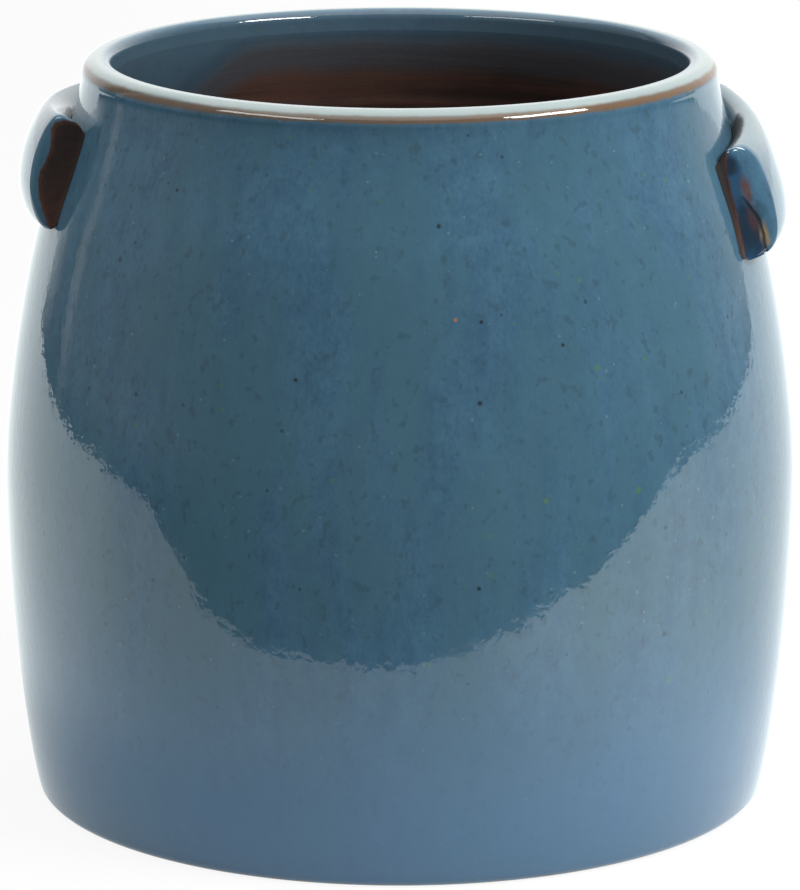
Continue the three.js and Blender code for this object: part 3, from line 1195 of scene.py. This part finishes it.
@dataclass(frozen=True)
class LugShape:
    """The sizes of one lug, in metres and radians, and the marks on its front end.

    The marks are lines of (off the wall, up the slope) in millimetres: the far edge of the clay that the
    glaze left bare, and the fold of the strip.
    """

    side: Side
    thick: float
    top_edge: float
    foot_full: float
    top_full: float
    rise: float
    backset: float
    drop: float
    slant: float
    end_deep: float
    end_inset: float
    inner_inset: float  # the inset beside the wall, as a share of the outer one
    bare_line: Outline
    fold_line: Outline
    fold_deep: float
    inner_sunk: float
    roll_wide: float  # in millimetres: how far beyond the fold the end comes up to its full length
    tall: float = 0.0355
    length: float = 0.089
    fullest: float = 0.0215
    foot_round: float = 0.0024
    groove_deep: float = 0.0032
    groove_wide: float = 0.0016
    crease_reach: float = 6.8  # in millimetres: how far the crevice's painted shade spreads

    def section(self) -> tuple[Outline, Outline]:
        """The lower and the upper edge of the section, each from the wall outwards.

        Returns:
            Two lists of points (off the wall, up the slope).
        """
        above = self.tall - self.fullest
        back_top = self.tall - self.groove_deep
        crest = (self.top_edge + self.thick) / 2
        foot = self.foot_round

        def curve(*points: tuple[float, float]) -> Outline:
            """Points along one curve of the section."""
            return [tuple(p) for p in geometry.interpolate_bezier(*map(Vector, points), 60)]

        tip = (self.thick, self.fullest)
        low_full = (self.thick, self.fullest * (1 - self.foot_full))
        lower = curve((0, foot), (0, foot / 3), (foot / 3, 0), (foot, 0))
        lower += curve((foot, 0), (self.thick * self.foot_full, 0), low_full, tip)[1:]
        edge, groove = (self.top_edge, self.tall), self.groove_wide
        upper = curve((0, back_top), (groove / 2, back_top), (groove, self.tall), edge)
        upper += curve(edge, (crest, self.tall), (self.thick, self.fullest + above * self.top_full), tip)[1:]
        return lower, upper


def value_at(line: Outline, where: float) -> float:
    """Reads a line of (place, value) points, in the order of their places, at one place."""
    at = min(max(bisect_left(line, (where, -1.0)), 1), len(line) - 1)
    (low_x, low_y), (high_x, high_y) = line[at - 1], line[at]
    width = high_x - low_x
    return mix(low_y, high_y, min(max((where - low_x) / width, 0.0), 1.0)) if width > 1e-9 else high_y


def off_line(line: Outline, across: float, up: float) -> float:
    """How far a point lies beyond a line that runs up the section, in the line's own units.

    Args:
        line: Points (off the wall, up the slope), upwards.
        across: The point's distance off the wall.
        up: Its height up the slope.

    Returns:
        The shortest distance, positive on the side away from the wall.
    """
    point = Vector((across, up))
    best = 1e9
    for low, high in zip(line, line[1:]):
        _, share = geometry.intersect_point_line(point, Vector(low), Vector(high))
        nearest = Vector(low).lerp(Vector(high), min(max(share, 0.0), 1.0))
        best = min(best, (point - nearest).length)
    return best if across > value_at([(y, x) for x, y in line], up) else -best


@dataclass
class Lug:
    """A strip of clay folded double and pressed on the shoulder, drawn from its section along the pot."""

    profile: PotProfile
    hand: PotterHand
    shape: LugShape
    steps_out: int = 44
    steps_up: int = 96
    steps_long: int = 110
    crowding: float = 0.7  # how much closer the steps lie at the ends
    fold_half: float = 0.45  # from here on, millimetres on the cut end: half the fold's width
    fold_closes: tuple[float, float] = (18.0, 24.0)  # up the slope
    torn_edge: tuple[float, float] = (0.1, -0.7)  # the clay sinks from here to here beyond its edge
    torn_deep: float = 0.4
    torn_rough: float = 0.13
    edge_soft: float = 0.8
    mark_reach: float = 1.5  # the marks run on this far round the end's edge
    crevice_along: tuple[float, float] = (-12.0, 6.0)  # the crevice's painted shade comes up towards the front
    crevice_end: tuple[float, float] = (0.5, 2.5)  # and stops short of the cut end

    def lay(self, spot: Vector) -> Vector:
        """Lays a point (off the wall, up the slope, along the lug) on the shoulder.

        Args:
            spot: The point in the lug's own measures.

        Returns:
            The point in the pot's frame.
        """
        shape = self.shape
        seat_height = self.profile.shoulder_height + shape.rise
        seat, tangent = self.profile.outside_at(seat_height)
        off = self.profile.joint_gap * 0.4 + spot.x
        shortened = 1 - 2 * shape.slant * spot.x / (shape.thick * shape.length)
        turn = shape.backset + spot.z * shortened / seat
        height = seat_height + (spot.y - shape.tall / 2) * tangent.y + shape.drop * spot.z / shape.length
        radius = self.profile.outside_at(height)[0] + off * tangent.y
        side = shape.side.value
        return Vector((side * radius * math.cos(turn), radius * math.sin(turn), height - off * tangent.x))

    def sweep(self) -> bmesh.types.BMesh:
        """Draws the section's grid out along the lug.

        Returns:
            The closed mesh, with x off the wall, y up the slope and z from 0 to 1 along the lug.
        """
        shape = self.shape
        lower, upper = shape.section()
        bm = bmesh.new()
        bmesh.ops.create_grid(bm, x_segments=self.steps_out, y_segments=self.steps_up, size=0.5)
        for vert in bm.verts:
            across = shape.thick * math.sin((vert.co.x + 0.5) * math.pi / 2)
            up = mix(value_at(lower, across), value_at(upper, across), vert.co.y + 0.5)
            vert.co = Vector((across, up, 0.0))
        bmesh.ops.remove_doubles(bm, verts=bm.verts, dist=SAME_POINT)
        drawn = bmesh.ops.extrude_face_region(bm, geom=bm.faces[:])["geom"]
        far = [item for item in drawn if isinstance(item, bmesh.types.BMVert)]
        bmesh.ops.translate(bm, verts=far, vec=(0, 0, 1))
        long_edges = [e for e in bm.edges if abs(e.verts[0].co.z - e.verts[1].co.z) > 0.5]
        bmesh.ops.subdivide_edges(bm, edges=long_edges, cuts=self.steps_long - 1, use_grid_fill=True)
        bmesh.ops.recalc_face_normals(bm, faces=bm.faces)
        return bm

    def place_along(self, spot: Vector) -> Vector:
        """Rounds the ends: turns the share along the lug into metres, and draws the section in there.

        Args:
            spot: A point of the sweep.

        Returns:
            The point in the lug's own measures, with its middle at 0.
        """
        shape = self.shape
        deep = shape.end_deep
        arc = (deep + shape.end_inset) / 2 * math.pi / 2
        straight = shape.length - 2 * deep
        total = straight + 2 * arc
        share = min(spot.z, 1 - spot.z) * 2
        from_end = total / 2 * mix(share, share * share, self.crowding)
        sign = -1.0 if spot.z < 0.5 else 1.0
        if from_end < arc:
            angle = from_end / arc * math.pi / 2
            place, inset = straight / 2 + deep * math.cos(angle), shape.end_inset * (1 - math.sin(angle))
            inset *= mix(shape.inner_inset, 1.0, smooth(0.3, 0.75, spot.x / shape.thick))
        else:
            place, inset = straight / 2 - (from_end - arc), 0.0
        middle = shape.tall / 2
        up = middle + (spot.y - middle) * (1 - inset / middle)
        return Vector((spot.x * (1 - inset / shape.thick), up, sign * place))

    def relief(self, spot: Vector) -> float:
        """How deep the fold and the torn clay lie below the cut end.

        Args:
            spot: A point on a cut end, in the lug's own measures.

        Returns:
            The depth in metres.
        """
        shape = self.shape
        across, up = spot.x * 1000, spot.y * 1000
        fold = off_line(shape.fold_line, across, up)
        bare = off_line(shape.bare_line, across, up)
        deep = shape.fold_deep * math.exp(-((fold / self.fold_half) ** 2)) * (1 - smooth(*self.fold_closes, up))
        deep += shape.inner_sunk * min(max(1 - fold / shape.roll_wide, 0.0), 1.0)
        rough = noise.noise(Vector((across, up, 3.0)) * 0.55)
        rough += 0.5 * noise.noise(Vector((across, up, 9.0)) * 1.3)
        deep += smooth(*self.torn_edge, bare) * (self.torn_deep + self.torn_rough * rough) / 1000
        edge = min(across, shape.thick * 1000 - across, up, shape.tall * 1000 - up)
        return deep * smooth(0.0, self.edge_soft, edge)

    def press(self, spot: Vector) -> Vector:
        """Presses a point near an end in by the end's relief, less and less round the end's edge."""
        deep = self.shape.end_deep
        to_end = self.shape.length / 2 - abs(spot.z)
        if to_end > deep * 0.9:
            return spot
        pressed = self.relief(spot) * smooth(deep * 0.9, deep * 0.3, to_end)
        return Vector((spot.x, spot.y, spot.z - math.copysign(pressed, spot.z)))

    def marks(self, spot: Vector) -> Vector:
        """Where the glaze broke.

        Args:
            spot: A point in the lug's own measures.

        Returns:
            The depth in bare clay and the distance from the fold, both in millimetres, and how deep in the
            crevice at the top, from 0 to 1.
        """
        shape = self.shape
        across, up, along = spot.x * 1000, spot.y * 1000, spot.z * 1000
        to_end, deep = shape.length * 500 - abs(along), shape.end_deep * 1000
        bare, fold = -9.0, 9.0  # far from both
        if to_end < deep + self.mark_reach:
            bare = -off_line(shape.bare_line, across, up) - 1.2 * max(to_end - 0.5, 0.0)
            fold = off_line(shape.fold_line, across, up) + 2.0 * max(to_end - deep, 0.0)
        from_top = math.hypot(max(across - 0.6, 0), up - (shape.tall - shape.groove_deep) * 1000)
        crease = smooth(shape.crease_reach, shape.crease_reach / 2, from_top)
        crease *= smooth(*self.crevice_along, -along) * smooth(*self.crevice_end, to_end)
        return Vector((bare, fold, crease))

    def build(self) -> bpy.types.Object:
        """Draws the lug, cuts its ends and lays it on the shoulder."""
        shape = self.shape
        bm = self.sweep()
        for vert in bm.verts:
            vert.co = self.place_along(vert.co)
        store_vectors(bm, LUG_PLACE, Vector.copy)
        store_vectors(bm, LUG_MARKS, self.marks)
        for vert in bm.verts:
            vert.co = self.lay(self.press(vert.co))
        store_vectors(bm, PLACE, Vector.copy)
        for vert in bm.verts:
            vert.co = self.hand.move(vert.co)
        bmesh.ops.recalc_face_normals(bm, faces=bm.faces)
        side = shape.side.name.lower()
        piece = finish_object(bm, f"{side}_handle", LUG_CREASE)
        stand_for(piece, f"lug_{side}", Slot["LUG_" + shape.side.name])
        return piece


LEFT_SHAPE = LugShape(
    side=Side.LEFT,
    thick=0.0118,
    top_edge=0.0075,
    foot_full=0.52,
    top_full=0.62,
    rise=0.0042,
    backset=math.radians(4),
    drop=-0.0031,
    slant=0.0053,
    end_deep=0.0014,
    end_inset=0.0014,
    inner_inset=1.0,
    bare_line=[(1.2, 0.2), (2.1, 1.2), (4.6, 4.8), (6.3, 7.7), (7.7, 10.8), (8.8, 14.0), (8.9, 16.8)]
    + [(8.3, 19.9), (8.2, 23.2), (8.7, 27.2), (9.6, 30.2), (8.7, 32.6), (6.7, 34.0), (3.2, 34.6), (0.5, 35.2)],
    fold_line=[(30.0, 0.0), (30.0, 36.0)],
    fold_deep=0.0,
    inner_sunk=0.0,
    roll_wide=4.0,
    crease_reach=3.9,
)
RIGHT_SHAPE = LugShape(
    side=Side.RIGHT,
    thick=0.0104,
    top_edge=0.0042,
    foot_full=0.86,
    top_full=0.8,
    rise=0.001,
    backset=math.radians(-0.3),
    drop=0.0076,
    slant=0.0105,
    end_deep=0.0021,
    end_inset=0.0031,
    inner_inset=0.35,
    bare_line=[(0.5, 0.0), (0.8, 4.0), (1.0, 7.5), (1.1, 13.3), (1.3, 18.8), (1.7, 25.1)]
    + [(2.1, 29.8), (3.3, 34.1), (3.6, 36.0)],
    fold_line=[(5.7, 0.0), (5.7, 1.8), (6.0, 4.9), (5.9, 11.2), (4.5, 16.2), (3.3, 20.4)]
    + [(4.4, 22.1), (5.5, 26.4), (5.6, 29.7), (4.9, 32.1), (3.6, 36.0)],
    fold_deep=0.0004,
    inner_sunk=0.001,
    roll_wide=4.2,
)


# ---- The stage ----


@dataclass(frozen=True)
class SoftLight:
    """A large soft lamp that faces the pot."""

    name: str
    azimuth: float  # degrees from the front, positive to the right
    elevation: float
    distance: float
    width: float
    tall: float
    power: float

    def place(self, aim: Vector) -> None:
        """Adds the lamp to the scene, aimed at a point."""
        lamp = bpy.data.lights.new(self.name, "AREA")
        lamp.shape = "RECTANGLE"
        lamp.size, lamp.size_y, lamp.energy = self.width, self.tall, self.power
        turn, up = math.radians(self.azimuth), math.radians(self.elevation)
        way = Vector((math.sin(turn) * math.cos(up), -math.cos(turn) * math.cos(up), math.sin(up)))
        held = bpy.data.objects.new(self.name, lamp)
        held.location = aim + way * self.distance
        held.rotation_euler = (-way).to_track_quat("-Z", "Y").to_euler()
        bpy.context.scene.collection.objects.link(held)


FLOOR_FRONT: Outline = [(-6.0, 6.4), (-1.32, 1.3), (-1.3, 0.04), (-1.15, -0.2), (-0.957, -0.3)]
FLOOR_FRONT += [(-0.398, -0.253), (-0.29, -0.241), (-0.186, -0.258), (-0.121, -0.282), (-0.059, -0.291)]
FLOOR_FRONT += [(0.0, -0.293), (0.048, -0.298), (0.136, -0.31), (0.25, -0.304), (0.338, -0.285)]
FLOOR_FRONT += [(0.71, -0.3), (1.092, -0.288), (1.4, -0.2), (1.55, 0.0), (1.6, 1.3), (6.0, 5.4)]

# How bright the room is, half as a share of 1, at each turn in degrees from the front.
ROOM: Outline = [(-180, 0.66), (-150, 0.66), (-138, 0.5), (-129, 0.1), (-121.5, 0.06), (-120.5, 0.3)]
ROOM += [(-117, 0.3), (-116, 0.12), (-88, 0.18), (-70, 0.12), (-55, 0.06), (-35, 0.02), (60, 0.02)]
ROOM += [(98, 0.08), (120, 0.24), (150, 0.6), (180, 0.66)]

LIGHTS = (
    SoftLight("key light", 60, 41, 1.6, 0.75, 0.28, 25.0),
    SoftLight("fill light", -53, 41, 1.6, 0.95, 0.24, 6.0),
)


@dataclass
class Studio:
    """The pale floor, the soft surround and the camera of the photograph."""

    eye: Triple = (0.0, -1.7, 0.51913)
    pitch: float = 0.236
    focal_pixels: float = 5481.3
    frame_tall: float = 890.0
    sensor: float = 36.0
    floor_back: float = 7.0
    floor_steps: int = 8  # columns between two points of its front edge
    floor_rows: int = 6
    floor_glow: float = 1.14
    glow_share: float = 0.9
    glow_tint: Triple = (0.93, 1.0, 1.0)
    room_scale: float = 2.0
    ceiling: float = 1.9
    ceiling_from: float = math.radians(44)
    ceiling_to: float = math.radians(52)
    under: float = 0.03
    aim: Triple = (0.0, 0.0, 0.12)

    def camera(self) -> None:
        """Sets the camera where the photograph was taken from."""
        data = bpy.data.cameras.new("camera")
        data.sensor_width = self.sensor
        data.lens = self.focal_pixels / self.frame_tall * self.sensor
        data.clip_start, data.clip_end = 0.05, 50
        held = bpy.data.objects.new("camera", data)
        held.location = self.eye
        held.rotation_euler = (math.pi / 2 - self.pitch, 0, 0)
        bpy.context.scene.collection.objects.link(held)
        bpy.context.scene.camera = held

    def floor(self) -> None:
        """Lays the floor, whose front edge shows as the bright lower part of the pot."""
        bm = bmesh.new()
        spans = len(FLOOR_FRONT) - 1
        columns = spans * self.floor_steps
        bmesh.ops.create_grid(bm, x_segments=columns, y_segments=self.floor_rows, size=0.5)
        for vert in bm.verts:
            at = min(int((vert.co.x + 0.5) * spans), spans - 1)
            (low_x, low_y), (high_x, high_y) = FLOOR_FRONT[at], FLOOR_FRONT[at + 1]
            share = (vert.co.x + 0.5) * spans - at
            front = mix(low_y, high_y, share)
            vert.co = Vector((mix(low_x, high_x, share), mix(front, self.floor_back, vert.co.y + 0.5), 0.0))
        piece = finish_object(bm, "floor", math.pi)
        piece.data.materials.append(self.floor_material())
        piece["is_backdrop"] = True

    def floor_material(self) -> bpy.types.Material:
        """The pale floor: it keeps the pot's shadow, and shows white to the camera and the glaze."""
        material = bpy.data.materials.new("Pale floor")
        bench = NodeBench.of(material)
        place = bench.add("TexCoord").outputs["Object"]
        across, back, _ = bench.split(place)
        diffuse = bench.add("BsdfDiffuse", {"Color": bench.rise(across, -0.25, 0.15, 0.5, 0.86)})
        right = bench.times(bench.rise(across, 0.02, 0.24), bench.rise(back, -0.1, 0.05, 0.95, 0.4))
        left = bench.times(bench.rise(across, -0.1, -0.25), bench.rise(back, -0.16, 0.03, 0.0, 0.5))
        near = bench.rise(bench.length(place), 0.22, 0.15)
        foot = bench.times(near, bench.rise(across, -0.1, 0.12, -0.25, 0.15))
        sides = bench.math("ADD", right, left)
        bright = bench.math("ADD", sides, bench.math("ADD", foot, self.floor_glow))
        path = bench.add("LightPath").outputs
        mirror = bench.math("MAXIMUM", path["Is Glossy Ray"], path["Is Transmission Ray"])
        strength = bench.line(bright, mirror, path["Is Camera Ray"])
        shade = bench.blend(path["Is Camera Ray"], self.glow_tint, (1.0, 1.0, 1.0))
        glow = bench.add("Emission", {"Color": shade, "Strength": strength})
        share = bench.line(mirror, self.glow_share, bench.times(path["Is Camera Ray"], self.glow_share))
        both = bench.add("MixShader", {0: share, 1: diffuse.outputs[0], 2: glow.outputs[0]})
        bench.add("OutputMaterial", {"Surface": both.outputs[0]})
        return material

    def surround(self) -> None:
        """The soft room: white behind the pot for the camera, bright behind and above it, dim in front."""
        world = bpy.data.worlds.new("studio")
        bpy.context.scene.world = world
        bench = NodeBench.of(world)
        way = bench.add("TexCoord").outputs["Generated"]
        east, north, up = bench.split(bench.vector("NORMALIZE", way))
        turn = bench.math("ARCTAN2", east, bench.times(north, -1.0))
        ring = bench.add("ValToRGB", {0: bench.line(turn, 1 / math.tau, 0.5)})
        stops = ring.color_ramp.elements
        while len(stops) < len(ROOM):
            stops.new(0.5)
        for stop, (degrees, bright) in zip(stops, ROOM):
            stop.position = degrees / 360 + 0.5
            stop.color = (bright, bright, bright, 1.0)
        level = bench.times(ring.outputs["Color"], self.room_scale)
        high = bench.rise(up, math.sin(self.ceiling_from), math.sin(self.ceiling_to))
        level = bench.add("Mix", {0: high, 2: level, 3: self.ceiling}).outputs[0]
        level = bench.add("Mix", {0: bench.rise(up, -0.02, -0.12), 2: level, 3: self.under}).outputs[0]
        seen = bench.math("MAXIMUM", level, bench.add("LightPath").outputs["Is Camera Ray"])
        white = bench.add("Background", {"Color": (1.0, 1.0, 1.0, 1.0), "Strength": seen})
        bench.add("OutputWorld", {"Surface": white.outputs[0]})

    def build(self) -> None:
        """Sets the whole stage and the plain view transform."""
        self.camera()
        self.floor()
        self.surround()
        for light in LIGHTS:
            light.place(Vector(self.aim))
        bpy.context.scene.view_settings.view_transform = "Standard"
        log.info("stage: floor, surround and %d soft lights", len(LIGHTS))


# ---- The whole ----


@dataclass
class Planter:
    """The planter: its five pieces of clay and their finishes."""

    profile: PotProfile = field(default_factory=PotProfile)

    def build(self) -> None:
        """Builds each piece and dresses it."""
        hand = PotterHand(self.profile)
        for effect in (SpecksEffect(), SpotEffect(), GlazeColourEffect(), GlazeSkinEffect(), ClayEffect()):
            effect.make()
        outer = OuterGlaze().make(self.profile)
        wall = ThrownWall(self.profile, hand).build()
        for material in (outer, InnerWall().make(), BareClay(name="Bare foot").make()):
            wall.data.materials.append(material)
        Rim(self.profile, hand).build().data.materials.append(outer)
        FloorDisc(self.profile, hand).build().data.materials.append(BareClay().make())
        left = Lug(self.profile, hand, LEFT_SHAPE).build()
        left.data.materials.append(LugGlaze().make(-LEFT_SHAPE.length / 2))
        right = Lug(self.profile, hand, RIGHT_SHAPE).build()
        right.data.materials.append(RIGHT_GLAZE.make(-RIGHT_SHAPE.length / 2))


def main() -> None:
    """Loads the frame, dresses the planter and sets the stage."""
    logging.basicConfig(level=logging.INFO, format="%(name)s: %(message)s")
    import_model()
    cad_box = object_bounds()
    Planter().build()
    Studio().build()
    boxes = {"cad": cad_box, "visual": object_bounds()}
    for name, (low, high) in boxes.items():
        log.info("%s box: %s to %s", name, [round(v, 4) for v in low], [round(v, 4) for v in high])


if __name__ == "__main__":
    main()
